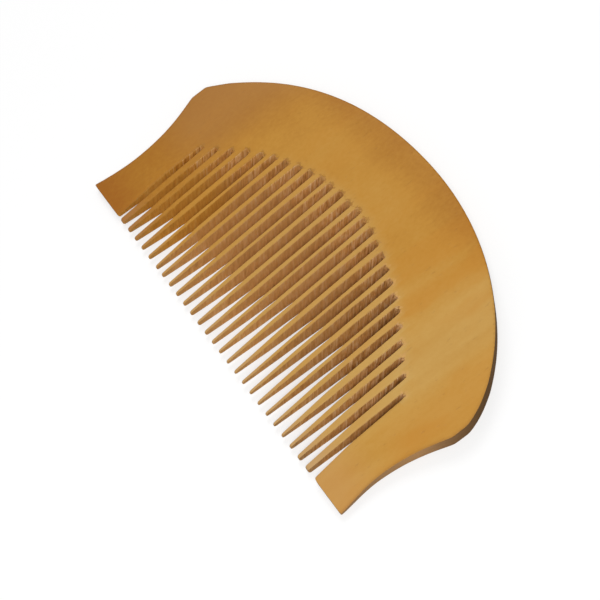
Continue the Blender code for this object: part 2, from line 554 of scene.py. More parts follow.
@dataclass
class BoardPiece:
    """A piece of the board: flat sheets that are thickened, creased, smoothed and roughened."""

    name: str
    slot: str
    blank: Blank
    cuts: SawCuts
    levels: tuple[float, ...] = (0.0, 0.14, 0.38, 0.62, 0.86, 1.0)
    smoothing: int = 2
    cut_crease: float = 0.45
    worn_crease: float = 0.2
    under_crease: float = 0.9
    corner_crease: float = 0.35
    seat_crease: float = 1.0
    flat_face: float = 0.7
    smooth_angle: float = math.radians(50)
    sawn_near: float = 0.0003
    sawn_far: float = 0.0009
    clean_rim: Range = (0.02, 0.22)
    torn_below: Range = (0.003, 0.014)
    torn_left: float = 0.95
    torn_right: Range = (0.15, 0.75)
    torn_foot: float = 0.35
    torn_last: float = 0.35
    smooth_below: Range = (0.010, 0.024)
    rim_width: float = 0.0008
    wall_reach: float = 0.00002

    def sheets(self) -> list[Sheet]:
        """The flat sheets that make up the piece: columns, rows and places of the corners."""
        raise NotImplementedError

    @property
    def seat(self) -> float:
        """Height where the piece joins the back."""
        return self.cuts.seats[self.name]

    def seats(self) -> list[float]:
        """Heights of the flat seats where the piece meets its neighbours."""
        return [self.seat]

    def outer_crease(self, height: float) -> float:
        """Crease of the edge around the outside of the board."""
        raise NotImplementedError

    def top(self, x: float, height: float) -> float:
        """Level of the piece's upper face."""
        return self.blank.top(x, height)

    def underside(self, x: float, height: float) -> float:
        """Level of the piece's lower face."""
        return self.blank.underside(x, height)

    def sawn(self, x: float, height: float) -> float:
        """How far a place on the piece shows the saw: 1 on the wall of a cut."""
        return 1 - ramp(self.cuts.distance(x, height), self.sawn_near, self.sawn_far)

    def frayed(self, x: float, height: float) -> float:
        """How far a place on the piece is frayed: 1 at the end of a cut."""
        return 0.0

    def torn(self, x: float, height: float) -> float:
        """How rough the saw left a place: most near the ends of the cuts and on the right.

        Args:
            x: X of the place.
            height: Its height on the board.

        Returns:
            The roughness, from 0 to 1.
        """
        cut = self.cuts.nearest(x, height)
        if cut == self.cuts.teeth:
            return self.torn_last
        below = self.cuts.arch(cut) - height
        near_end = self.torn_left * (1 - ramp(below, *self.torn_below))
        fade = mix(1.0, self.torn_foot, ramp(below, *self.smooth_below))
        return max(near_end, fade * ramp(self.cuts.share(cut), *self.torn_right))

    def feather(self, x: float, height: float) -> float:
        """How near a place on the upper face lies to the feathered end of a cut."""
        return 0.0

    def row(self, x: float, height: float) -> float:
        """How far a place belongs to the row of teeth."""
        return 0.0

    def rim(self, x: float, height: float) -> float:
        """How far a place belongs to the darkened rim along the outline."""
        return 1 - ramp(self.blank.inset(x, height), 0.0, self.rim_width)

    def lean_back(self, x: float, height: float) -> float:
        """How far a place leans to the left at the upper face: the left walls of the cuts do."""
        cut = self.cuts.nearest(x, height)
        on_wall = abs(x - self.cuts.wall(cut, Side.LEFT, height)) < self.wall_reach
        return self.cuts.slope(cut, height) if on_wall else 0.0

    def settle(self, corner: Vector, share: float) -> None:
        """Give a corner of the cage its last place.

        Args:
            corner: The corner, which is moved.
            share: Its share of the thickness, from the underside.
        """
        corner.x -= share * self.lean_back(*self.on_board(corner))

    def build(self) -> bpy.types.Object:
        """Model the piece.

        Returns:
            The finished object.
        """
        parts = [Bench.lay_sheet(*sheet) for sheet in self.sheets()]
        Bench.take(*parts)
        if len(parts) > 1:
            bpy.ops.object.join()
        piece = bpy.context.active_object
        piece.name = piece.data.name = self.name + "_wood"
        self.thicken(piece)
        self.cut_levels(piece)
        self.crease_edges(piece)
        smoother = piece.modifiers.new("smoothed", "SUBSURF")
        smoother.levels = smoother.render_levels = self.smoothing
        Bench.apply(piece, smoother)
        self.roughen(piece)
        Bench.take(piece)
        bpy.ops.object.shade_smooth_by_angle(angle=self.smooth_angle)
        self.mark_walls(piece)
        return piece

    def within(self, corner: Vector) -> float:
        """How far a point lies inside the thickness: 0 on both faces, 1 in the wall between."""
        place = self.on_board(corner)
        low, high = self.underside(*place), self.top(*place)
        share = (corner.z - low) / (high - low)
        return ramp(min(share, 1 - share), *self.clean_rim)

    def on_board(self, corner: Vector) -> tuple[float, float]:
        """X and height on the board of a point of the frame."""
        return corner.x, corner.y - self.blank.tip_line

    def thicken(self, piece: bpy.types.Object) -> None:
        """Weld the sheets and draw them down to the lower face.

        Args:
            piece: The object made of flat sheets.
        """
        Bench.edit_all(piece)
        bpy.ops.mesh.remove_doubles(threshold=MERGE_DISTANCE)
        drawn = -self.blank.crown_thickness
        bpy.ops.mesh.extrude_region_move(TRANSFORM_OT_translate={"value": (0, 0, drawn)})
        Bench.put_down()
        for corner in piece.data.vertices:
            level = self.underside if corner.select else self.top
            corner.co.z = level(*self.on_board(corner.co))
        Bench.edit_all(piece)
        bpy.ops.mesh.normals_make_consistent(inside=False)
        Bench.put_down()

    def cut_levels(self, piece: bpy.types.Object) -> None:
        """Cut the walls into levels and settle every corner of the cage.

        Args:
            piece: The thickened object.
        """
        corners = piece.data.vertices
        upright = []
        for line in piece.data.edges:
            span = corners[line.vertices[1]].co - corners[line.vertices[0]].co
            if math.hypot(span.x, span.y) < MERGE_DISTANCE:
                upright.append(line.index)
        Bench.edit(piece, Domain.EDGES, upright)
        steps = len(self.levels) - 1
        bpy.ops.mesh.subdivide(number_cuts=steps - 1)
        Bench.put_down()
        for corner in piece.data.vertices:
            place = self.on_board(corner.co)
            low, high = self.underside(*place), self.top(*place)
            share = self.levels[round((corner.co.z - low) / (high - low) * steps)]
            corner.co.z = mix(low, high, share)
            self.settle(corner.co, share)

    def crease_edges(self, piece: bpy.types.Object) -> None:
        """Crease the edges of the cage in steps of a tenth, so that smoothing keeps them.

        Args:
            piece: The cage.
        """
        mesh = piece.data
        sides: dict[int, list[bpy.types.MeshPolygon]] = {}
        for face in mesh.polygons:
            for loop in face.loop_indices:
                sides.setdefault(mesh.loops[loop].edge_index, []).append(face)
        levels = self.seats()
        seats = {face.index for face in mesh.polygons if self.is_seat(mesh, face, levels)}
        creases: dict[float, list[int]] = {}
        for line in mesh.edges:
            crease = round(self.crease(mesh, line, sides[line.index], seats), 1)
            if crease > 0:
                creases.setdefault(crease, []).append(line.index)
        for crease, lines in creases.items():
            Bench.edit(piece, Domain.EDGES, lines)
            bpy.ops.transform.edge_crease(value=crease)
            Bench.put_down()

    def crease(self, mesh: bpy.types.Mesh, line: bpy.types.MeshEdge,
               faces: Sequence[bpy.types.MeshPolygon], seats: set[int]) -> float:
        """Crease of one edge of the cage.

        Args:
            mesh: The cage's mesh.
            line: The edge.
            faces: The faces on both sides of it.
            seats: Indices of the faces that lie on seats.

        Returns:
            The crease, from 0 for a smooth edge to 1 for a hard one.
        """
        seated = [face.index in seats for face in faces]
        if any(seated):
            return 0.0 if all(seated) else self.seat_crease
        flat = [abs(face.normal.z) > self.flat_face for face in faces]
        middle = sum((mesh.vertices[index].co for index in line.vertices), Vector()) / 2
        if all(flat):
            return 0.0
        x, height = self.on_board(middle)
        if not any(flat):
            bent = faces[0].normal.dot(faces[1].normal) < self.flat_face
            return self.corner_crease if bent else self.blank.corner_crease(x, height)
        if self.cuts.distance(x, height) > self.sawn_far:
            return self.outer_crease(height)
        if faces[flat.index(True)].normal.z < 0:
            return self.under_crease
        worn = faces[flat.index(False)].normal.x > self.flat_face
        return self.worn_crease if worn else self.cut_crease

    def is_seat(self, mesh: bpy.types.Mesh, face: bpy.types.MeshPolygon,
                levels: Sequence[float]) -> bool:
        """Whether a face of the cage lies on one of the piece's seats."""
        heights = [mesh.vertices[index].co.y - self.blank.tip_line for index in face.vertices]
        low, high = min(heights), max(heights)
        return any(max(abs(low - level), abs(high - level)) < MERGE_DISTANCE for level in levels)

    def roughen(self, piece: bpy.types.Object) -> None:
        """Press saw marks and torn grain into the walls of the cuts.

        Args:
            piece: The smoothed object.
        """
        places = [self.on_board(corner.co) for corner in piece.data.vertices]
        inner = [self.within(corner.co) for corner in piece.data.vertices]
        sawn = [self.sawn(*place) * depth for place, depth in zip(places, inner)]
        frayed = [self.frayed(*place) for place in places]
        for name, weights in (("sawn", sawn), ("frayed", frayed)):
            group = piece.vertex_groups.new(name=name)
            for index, weight in enumerate(weights):
                if weight > 0:
                    group.add([index], weight, "REPLACE")
        for texture in (SAW_MARKS, TORN_GRAIN, FRAYED_ENDS):
            texture.press(piece)

    def mark_walls(self, piece: bpy.types.Object) -> None:
        """Note on the mesh which places are walls and which of them are sawn, for the finish.

        Args:
            piece: The roughened object.
        """
        mesh = piece.data
        wall = [1 - abs(corner.normal.z) for corner in mesh.vertices]
        places = [self.on_board(corner.co) for corner in mesh.vertices]
        piece.vertex_groups.clear()
        mesh.attributes.new("wall", "FLOAT", "POINT").data.foreach_set("value", wall)
        for note in (self.sawn, self.frayed, self.torn, self.feather, self.row, self.rim):
            values = [note(*place) for place in places]
            mesh.attributes.new(note.__name__, "FLOAT", "POINT").data.foreach_set("value", values)

    def dress(self, piece: bpy.types.Object, material: bpy.types.Material) -> None:
        """Give a piece its finish and set it in the place of its solid.

        Args:
            piece: The finished object.
            material: Its wood.
        """
        piece.data.materials.clear()
        piece.data.materials.append(material)
        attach(piece, "root")
        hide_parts(self.name)
        log.info("%s: %d faces", self.name, len(piece.data.polygons))


@dataclass
class Guard(BoardPiece):
    """One of the two broad guards at the ends of the row, with a waisted outer edge."""

    side: Side = Side.LEFT
    shares: tuple[float, ...] = (0.0, 0.10, 0.36, 0.68, 1.0)
    row_length: float = 0.0013
    left_shift: float = 0.00030
    right_shift: float = 0.00080
    shift_height: float = 0.011
    left_lift: float = 0.0010
    right_lift: float = 0.0006
    lift_length: float = 0.014
    upright_below: Range = (0.004, 0.016)
    arris_crease: float = 0.60

    @property
    def cut(self) -> int:
        """The cut that the guard lies beside."""
        return 0 if self.side is Side.LEFT else self.cuts.teeth

    def across(self, share: float, height: float) -> float:
        """X at a share of the guard's width, from the outline to the cut."""
        outer = self.blank.flank(self.side, height)
        shift = self.left_shift if self.side is Side.LEFT else self.right_shift
        shift *= max(0.0, 1 - height / self.shift_height)
        return mix(outer, self.cuts.wall(self.cut, self.side, height) + shift, share)

    def underside(self, x: float, height: float) -> float:
        """Level of the lower face, which lifts towards the foot."""
        lift = self.left_lift if self.side is Side.LEFT else self.right_lift
        lift *= max(0.0, 1 - height / self.lift_length)
        return lift + self.blank.underside(x, height)

    def lean_back(self, x: float, height: float) -> float:
        """The left guard's wall leans back, less towards the foot."""
        on_wall = self.side is Side.LEFT and abs(x - self.across(1.0, height)) < self.wall_reach
        return self.cuts.slope(self.cut, height) * ramp(height, *self.upright_below) if on_wall else 0.0

    def strip(self, low: float, high: float, rows: int) -> Sheet:
        """A sheet across the guard between two heights.

        Args:
            low: Height of its lower edge.
            high: Height of its upper edge.
            rows: Number of rows of faces.

        Returns:
            Its columns, rows and places of the corners.
        """
        def place(column: int, row: int) -> Vector:
            """The point of one corner."""
            height = mix(low, high, row / rows)
            return self.blank.point(self.across(self.shares[column], height), height)

        return len(self.shares) - 1, rows, place

    def sheets(self) -> list[Sheet]:
        """One sheet from the foot to the seat."""
        return [self.strip(0.0, self.seat, round(self.seat / self.row_length))]

    def outer_crease(self, height: float) -> float:
        """The guard's arris is crisp."""
        return self.arris_crease


@dataclass
class Tooth(BoardPiece):
    """One tooth: straight from its seat, then narrowing to a round tip."""

    index: int = 0
    columns: int = 2
    row_length: float = 0.0012
    taper_start: float = 0.0145
    tip_width: float = 0.00054
    left_blunt: float = 0.00085
    right_blunt: float = 0.00070
    blunt_spread: float = 1.0
    tip_length: float = 0.0009
    tip_rows: tuple[float, ...] = (-0.00012, 0.00010, 0.00042)
    tip_widths: tuple[float, ...] = (0.72, 0.95, 1.0)
    tip_depths: tuple[float, ...] = (0.55, 0.86, 1.0)
    left_lift: float = 0.00100
    lift_length: float = 0.010
    hollow: float = 0.00080
    hollow_from: Range = (0.42, 0.66)
    hollow_to: Range = (0.88, 0.98)
    hollow_fade: Range = (0.013, 0.028)
    bent_tooth: int = 5
    bent_tip: float = 0.00050
    tip_sawn: float = 0.35
    sanded_length: float = 0.006

    def outer_crease(self, height: float) -> float:
        """All of a tooth's edges lie along cuts."""
        return self.cut_crease

    @property
    def tip(self) -> float:
        """Width of the tip: the teeth beside the guards are blunter."""
        from_left, from_right = self.index, self.cuts.teeth - 1 - self.index
        left = self.left_blunt * math.exp(-from_left / self.blunt_spread)
        right = self.right_blunt * math.exp(-from_right / self.blunt_spread)
        return self.tip_width + left + right

    def width_at(self, height: float) -> tuple[float, float]:
        """Find the tooth between its two cuts, tapered towards the tip.

        Args:
            height: Height on the board.

        Returns:
            X of its centre, and half its width.
        """
        left = self.cuts.wall(self.index, Side.RIGHT, height)
        right = self.cuts.wall(self.index + 1, Side.LEFT, height)
        centre, half = (left + right) / 2, (right - left) / 2
        share = max(0.0, height) / self.taper_start
        if share < 1:
            half = mix(self.tip / 2, half, share)
            if self.index == self.bent_tooth:
                centre += self.bent_tip * (1 - share)
        return centre, half

    def heights(self) -> list[float]:
        """Heights of the rows of corners, from the tip to the seat."""
        straight = self.seat - self.tip_length
        rows = round(straight / self.row_length)
        return list(self.tip_rows) + [
            self.tip_length + straight * row / rows for row in range(rows + 1)]

    def sheets(self) -> list[Sheet]:
        """One sheet from the tip to the seat."""
        heights = self.heights()

        def place(column: int, row: int) -> Vector:
            """The point of one corner."""
            height = heights[row]
            centre, half = self.width_at(height)
            if row < len(self.tip_widths):
                half *= self.tip_widths[row]
            return self.blank.point(centre + half * (2 * column / self.columns - 1), height)

        return [(self.columns, len(heights) - 1, place)]

    def depth_at(self, height: float) -> float:
        """Share of the board's thickness that the tooth has at a height."""
        for row, depth in zip(self.tip_rows, self.tip_depths):
            if height < row + MERGE_DISTANCE:
                return depth
        return 1.0

    def top(self, x: float, height: float) -> float:
        """Level of the upper face, rounded off at the tip."""
        return self.blank.top(x, height) * (1 + self.depth_at(height)) / 2

    def underside(self, x: float, height: float) -> float:
        """Level of the lower face, which lifts towards the tip and is rounded off there."""
        share = self.index / (self.cuts.teeth - 1)
        lift = self.left_lift * (1 - share) * max(0.0, 1 - max(height, 0.0) / self.lift_length)
        hollowed = ramp(share, *self.hollow_from) * (1 - ramp(share, *self.hollow_to))
        lift += self.hollow * hollowed * (1 - ramp(height, *self.hollow_fade))
        return lift + (self.blank.top(x, height) - lift) * (1 - self.depth_at(height)) / 2

    def lean_back(self, x: float, height: float) -> float:
        """The right wall of the tooth leans back, less towards the tip."""
        centre, half = self.width_at(height)
        fade = min(1.0, max(0.0, height / self.taper_start))
        return fade * self.cuts.slope(self.index + 1, height) if x > centre + half / 2 else 0.0

    def row(self, x: float, height: float) -> float:
        """All of a tooth belongs to the row."""
        return 1.0

    def sawn(self, x: float, height: float) -> float:
        """The walls are sawn, and sanded smoother towards the tip."""
        return mix(self.tip_sawn, 1.0, ramp(height, 0.0, self.sanded_length))


@dataclass(frozen=True)
class Knot:
    """One corner of the plate's lower line, with the arch above it and its span on the crown."""

    x: float
    height: float
    arch: float
    span: float


@dataclass
class CombBack(BoardPiece):
    """The back: crown, shoulders, the round ends of the cuts and the roots of the teeth."""

    guards: tuple[Guard, Guard] = ()
    end_columns: int = 4
    root_columns: int = 2
    stub_rows: int = 2
    collar: float = 0.0020
    collar_shares: tuple[float, ...] = (0.0, 0.42, 1.0)
    plate_shares: tuple[float, ...] = (0.0, 0.15, 0.31, 0.47, 0.63, 0.79, 0.93, 1.0)
    guard_span: float = 3.0
    end_span: float = 0.8
    root_span: float = 1.1
    frayed_range: Range = (-0.0005, 0.0009)
    frayed_near: float = 0.0002
    frayed_far: float = 0.0006
    end_reach: float = 0.0005
    feather_length: float = 0.0008
    feather_width: float = 0.0013
    flank_crease: float = 0.60
    crown_crease: float = 0.25
    crown_range: Range = (0.031, 0.046)
    row_top: Range = (-0.003, 0.002)
    row_side: Range = (0.0, 0.003)

    def seats(self) -> list[float]:
        """The seats of the guards and of every tooth."""
        return sorted(set(self.cuts.seats.values()))

    def outer_crease(self, height: float) -> float:
        """The back's edge is soft, and crisper down its flanks."""
        return mix(self.flank_crease, self.crown_crease, ramp(height, *self.crown_range))

    def guard_knot(self, guard: Guard, share: float) -> Knot:
        """The corner at a share of a guard's width."""
        level = self.cuts.shoulder(guard.cut)
        return Knot(guard.across(share, level), level, self.cuts.arch(guard.cut), self.guard_span)

    def cut_knot(self, cut: int, angle: float, span: float) -> Knot:
        """The corner at an angle of a cut's round end."""
        return Knot(*self.cuts.end_point(cut, angle), self.cuts.arch(cut), span)

    def chain(self) -> list[Knot]:
        """The lower line of the plate, along the ends of the cuts.

        Returns:
            Its corners, from left to right.
        """
        left, right = self.guards
        knots = [self.guard_knot(left, share) for share in left.shares[:-1]]
        for cut in range(self.cuts.teeth + 1):
            for step in range(self.end_columns + 1):
                angle = math.pi * (1 - step / self.end_columns)
                knots.append(self.cut_knot(cut, angle, self.end_span))
            if cut < self.cuts.teeth:
                knots.extend(self.root_line(cut)[1:-1])
        return knots + [self.guard_knot(right, share) for share in reversed(right.shares[:-1])]

    def root_line(self, tooth: int) -> list[Knot]:
        """The line across a tooth's root, between the ends of the cuts beside it."""
        start = astuple(self.cut_knot(tooth, 0.0, self.root_span))
        end = astuple(self.cut_knot(tooth + 1, math.pi, self.root_span))
        shares = [column / self.root_columns for column in range(self.root_columns + 1)]
        return [Knot(*(mix(a, b, share) for a, b in zip(start, end))) for share in shares]

    def plate(self) -> Sheet:
        """The sheet between the ends of the cuts and the crown.

        Returns:
            Its columns, rows and places of the corners.
        """
        chain = self.chain()
        last = len(chain) - 1
        runs = [0.0]
        for before, after in zip(chain, chain[1:]):
            runs.append(runs[-1] + (before.span + after.span) / 2)
        shares = [run / runs[-1] for run in runs]
        left, right = self.guards
        tops = [knot.arch + self.collar for knot in chain]
        edge = len(left.shares) - 1

        def aside(column: int, height: float) -> float:
            """X of a column of the collar at a height."""
            knot = chain[column]
            if column < edge:
                return left.across(left.shares[column], height)
            if column > last - edge:
                return right.across(right.shares[last - column], height)
            return knot.x - self.cuts.leaning(height) + self.cuts.leaning(knot.height)

        def arch_point(column: int) -> Vector:
            """The point of the arch line above a column."""
            return Vector((aside(column, tops[column]), tops[column]))

        def flank_point(side: Side, share: float) -> Vector:
            """The point of the outline a share of the way up the plate's end."""
            start = tops[0] if side is Side.LEFT else tops[-1]
            height = mix(start, self.blank.corner_height, share)
            return Vector((self.blank.flank(side, height), height))

        def place(column: int, row: int) -> Vector:
            """The point of one corner: a collar round the cuts, then a patch up to the crown."""
            collar_rows = len(self.collar_shares) - 1
            if row <= collar_rows:
                height = mix(chain[column].height, tops[column], self.collar_shares[row])
                return self.blank.point(aside(column, height), height)
            up = self.plate_shares[row - collar_rows]
            along = shares[column]
            between = arch_point(column).lerp(self.blank.crown_point(along), up)
            ends = flank_point(Side.LEFT, up).lerp(flank_point(Side.RIGHT, up), along)
            low = arch_point(0).lerp(arch_point(last), along)
            high = self.blank.crown_point(0.0).lerp(self.blank.crown_point(1.0), along)
            spot = between + ends - low.lerp(high, up)
            return self.blank.point(spot.x, spot.y)

        return last, len(self.collar_shares) + len(self.plate_shares) - 2, place

    def stub(self, tooth: int) -> Sheet:
        """The sheet of one tooth's root, between its seat and the plate.

        Args:
            tooth: The tooth, counted from the left.

        Returns:
            Its columns, rows and places of the corners.
        """
        seat = self.cuts.seats[self.cuts.tooth_names()[tooth]]
        line = self.root_line(tooth)

        def place(column: int, row: int) -> Vector:
            """The point of one corner."""
            if row == self.stub_rows:
                return self.blank.point(line[column].x, line[column].height)
            height = mix(seat, line[column].height, row / self.stub_rows)
            left = self.cuts.wall(tooth, Side.RIGHT, height)
            right = self.cuts.wall(tooth + 1, Side.LEFT, height)
            return self.blank.point(mix(left, right, column / self.root_columns), height)

        return self.root_columns, self.stub_rows, place

    def sheets(self) -> list[Sheet]:
        """The plate, the roots of the teeth and the roots of the guards."""
        stubs = [self.stub(tooth) for tooth in range(self.cuts.teeth)]
        ends = [guard.strip(guard.seat, self.cuts.shoulder(guard.cut), self.stub_rows)
                for guard in self.guards]
        return [self.plate()] + stubs + ends

    def past_shoulder(self, x: float, height: float) -> float:
        """How far a place lies beyond the shoulder of the nearest cut."""
        return height - self.cuts.shoulder(self.cuts.nearest(x, height))

    def settle(self, corner: Vector, share: float) -> None:
        """Slope the ends of the cuts, which the saw leaves longer on the upper face.

        Args:
            corner: The corner, which is moved.
            share: Its share of the thickness, from the underside.
        """
        super().settle(corner, share)
        x, height = self.on_board(corner)
        beyond = self.past_shoulder(x, height)
        if beyond > MERGE_DISTANCE and abs(self.cuts.distance(x, height)) <= self.end_reach:
            shorter = self.cuts.end_length(share) / self.cuts.long_end
            corner.y -= beyond * (1 - shorter)

    def frayed(self, x: float, height: float) -> float:
        """The rims of the cuts' round ends are frayed."""
        beside = 1 - ramp(self.cuts.distance(x, height), self.frayed_near, self.frayed_far)
        return beside * ramp(self.past_shoulder(x, height), *self.frayed_range)

    def feather(self, x: float, height: float) -> float:
        """The face is feathered round the ends of the cuts."""
        beside = 1 - ramp(self.cuts.distance(x, height), 0.0, self.feather_width)
        return beside * ramp(self.past_shoulder(x, height), 0.0, self.feather_length)

    def row(self, x: float, height: float) -> float:
        """The roots of the teeth belong to the row."""
        cut = self.cuts.nearest(x, height)
        beyond = abs(x + self.cuts.leaning(height)) - self.cuts.half_row
        below = ramp(self.cuts.arch(cut) - height, *self.row_top)
        return below * (1 - ramp(beyond, *self.row_side))


@dataclass(frozen=True)
class Figure:
    """One layer of pattern in the wood: the size of its spots, how fine it is and how it shows."""

    grain: Triple
    detail: float
    strength: float = 1.0
    slant: float = 0.0
    shift: Triple = (0.0, 0.0, 0.0)


class Canvas:
    """Places and joins the nodes of a material or of the room."""

    noise_roughness: float = 0.55

    def __init__(self, owner: bpy.types.ID) -> None:
        """Start with no nodes.

        Args:
            owner: The material or world that the nodes belong to.
        """
        owner.use_nodes = True
        self.owner = owner
        self.tree = owner.node_tree
        self.tree.nodes.clear()

    @cached_property
    def place(self) -> Socket:
        """Where a point lies on its object."""
        return self.add("ShaderNodeTexCoord").outputs["Object"]

    @cached_property
    def axes(self) -> bpy.types.Node:
        """The node that splits the place into X, Y and Z."""
        return self.add("ShaderNodeSeparateXYZ", {"Vector": self.place})

    def add(self, kind: str, inputs: dict | None = None, **settings: object) -> bpy.types.Node:
        """Add a node.

        Args:
            kind: The node's type.
            inputs: Values, colours or sockets for its inputs, by name or number.
            settings: The node's own settings.

        Returns:
            The new node.
        """
        node = self.tree.nodes.new(kind)
        for name, value in settings.items():
            setattr(node, name, value)
        for key, value in (inputs or {}).items():
            socket = node.inputs[key]
            if isinstance(value, Socket):
                self.tree.links.new(value, socket)
            else:
                socket.default_value = (*value, 1.0) if socket.type == "RGBA" else value
        return node

    def maths(self, operation: str, *values: object) -> Socket:
        """The result of a sum on values or sockets, kept as it is."""
        inputs = dict(enumerate(values))
        return self.add("ShaderNodeMath", inputs, operation=operation).outputs[0]

    def product(self, *values: object) -> Socket:
        """All of the values multiplied."""
        return reduce(partial(self.maths, "MULTIPLY"), values)

    def span(self, value: object, low: float, high: float, start: float = 0.0,
             end: float = 1.0) -> Socket:
        """A value mapped smoothly from one range to another."""
        inputs = {"Value": value, "From Min": low, "From Max": high, "To Min": start, "To Max": end}
        return self.add("ShaderNodeMapRange", inputs, interpolation_type="SMOOTHSTEP").outputs[0]

    def noise(self, figure: Figure) -> Socket:
        """Noise whose spots have the size of a figure along each axis.

        Args:
            figure: The layer of pattern.

        Returns:
            The spots, from 0 to 1.
        """
        mapping = self.add("ShaderNodeMapping", {
            "Vector": self.place, "Scale": figure.grain, "Rotation": (figure.slant, 0, 0),
            "Location": figure.shift}, vector_type="TEXTURE")
        return self.add("ShaderNodeTexNoise", {
            "Vector": mapping.outputs[0], "Scale": 1.0, "Detail": figure.detail,
            "Roughness": self.noise_roughness}).outputs["Fac"]

    def swing(self, figure: Figure) -> Socket:
        """The spots of a figure, about zero."""
        return self.maths("SUBTRACT", self.noise(figure), 0.5)

    def colours(self, value: object, stops: Stops) -> Socket:
        """A ramp of colours.

        Args:
            value: What drives the ramp.
            stops: Positions and colours along it.

        Returns:
            The colour.
        """
        node = self.add("ShaderNodeValToRGB", {"Fac": value})
        band = node.color_ramp
        while len(band.elements) < len(stops):
            band.elements.new(1.0)
        for element, (position, colour) in zip(band.elements, stops):
            element.position = position
            element.color = (*colour, 1.0)
        return node.outputs["Color"]

    def blend(self, share: object, first: object, second: object, mode: str = "MIX") -> Socket:
        """One colour laid over another."""
        inputs = {"Factor": share, 6: first, 7: second}
        return self.add("ShaderNodeMix", inputs, data_type="RGBA", blend_type=mode).outputs[2]

    def attribute(self, name: str) -> Socket:
        """A value noted on the mesh."""
        return self.add("ShaderNodeAttribute", attribute_name=name).outputs["Fac"]

    def reading(self, source: str) -> Socket:
        """A coordinate, by the letter of its axis, or else a value noted on the mesh."""
        return self.axes.outputs[source] if source in ("X", "Y", "Z") else self.attribute(source)


@dataclass(frozen=True)
class Fade:
    """How something comes or goes along an axis of the board, or with a value noted on the mesh."""

    source: str
    low: float
    high: float
    start: float = 0.0
    end: float = 1.0

    def share(self, canvas: Canvas) -> Socket:
        """How strong it is at each place."""
        return canvas.span(canvas.reading(self.source), self.low, self.high, self.start, self.end)


@dataclass(frozen=True)
class Tint:
    """A colour over part of the wood, bounded by fades, by a note on the mesh or by a figure."""

    colour: Colour
    fades: tuple[Fade, ...] = ()
    note: str = ""
    figure: Figure | None = None
    figure_range: Range = (0.0, 1.0)
    strength: float = 1.0
    mode: str = "MIX"

    def lay(self, canvas: Canvas, under: Socket) -> Socket:
        """Lay the tint over a colour.

        Args:
            canvas: The material's nodes.
            under: The colour below.

        Returns:
            Both colours together.
        """
        shares = [fade.share(canvas) for fade in self.fades]
        if self.note:
            shares.append(canvas.attribute(self.note))
        if self.figure:
            shares.append(canvas.span(canvas.noise(self.figure), *self.figure_range))
        return canvas.blend(canvas.product(*shares, self.strength), under, self.colour, self.mode)


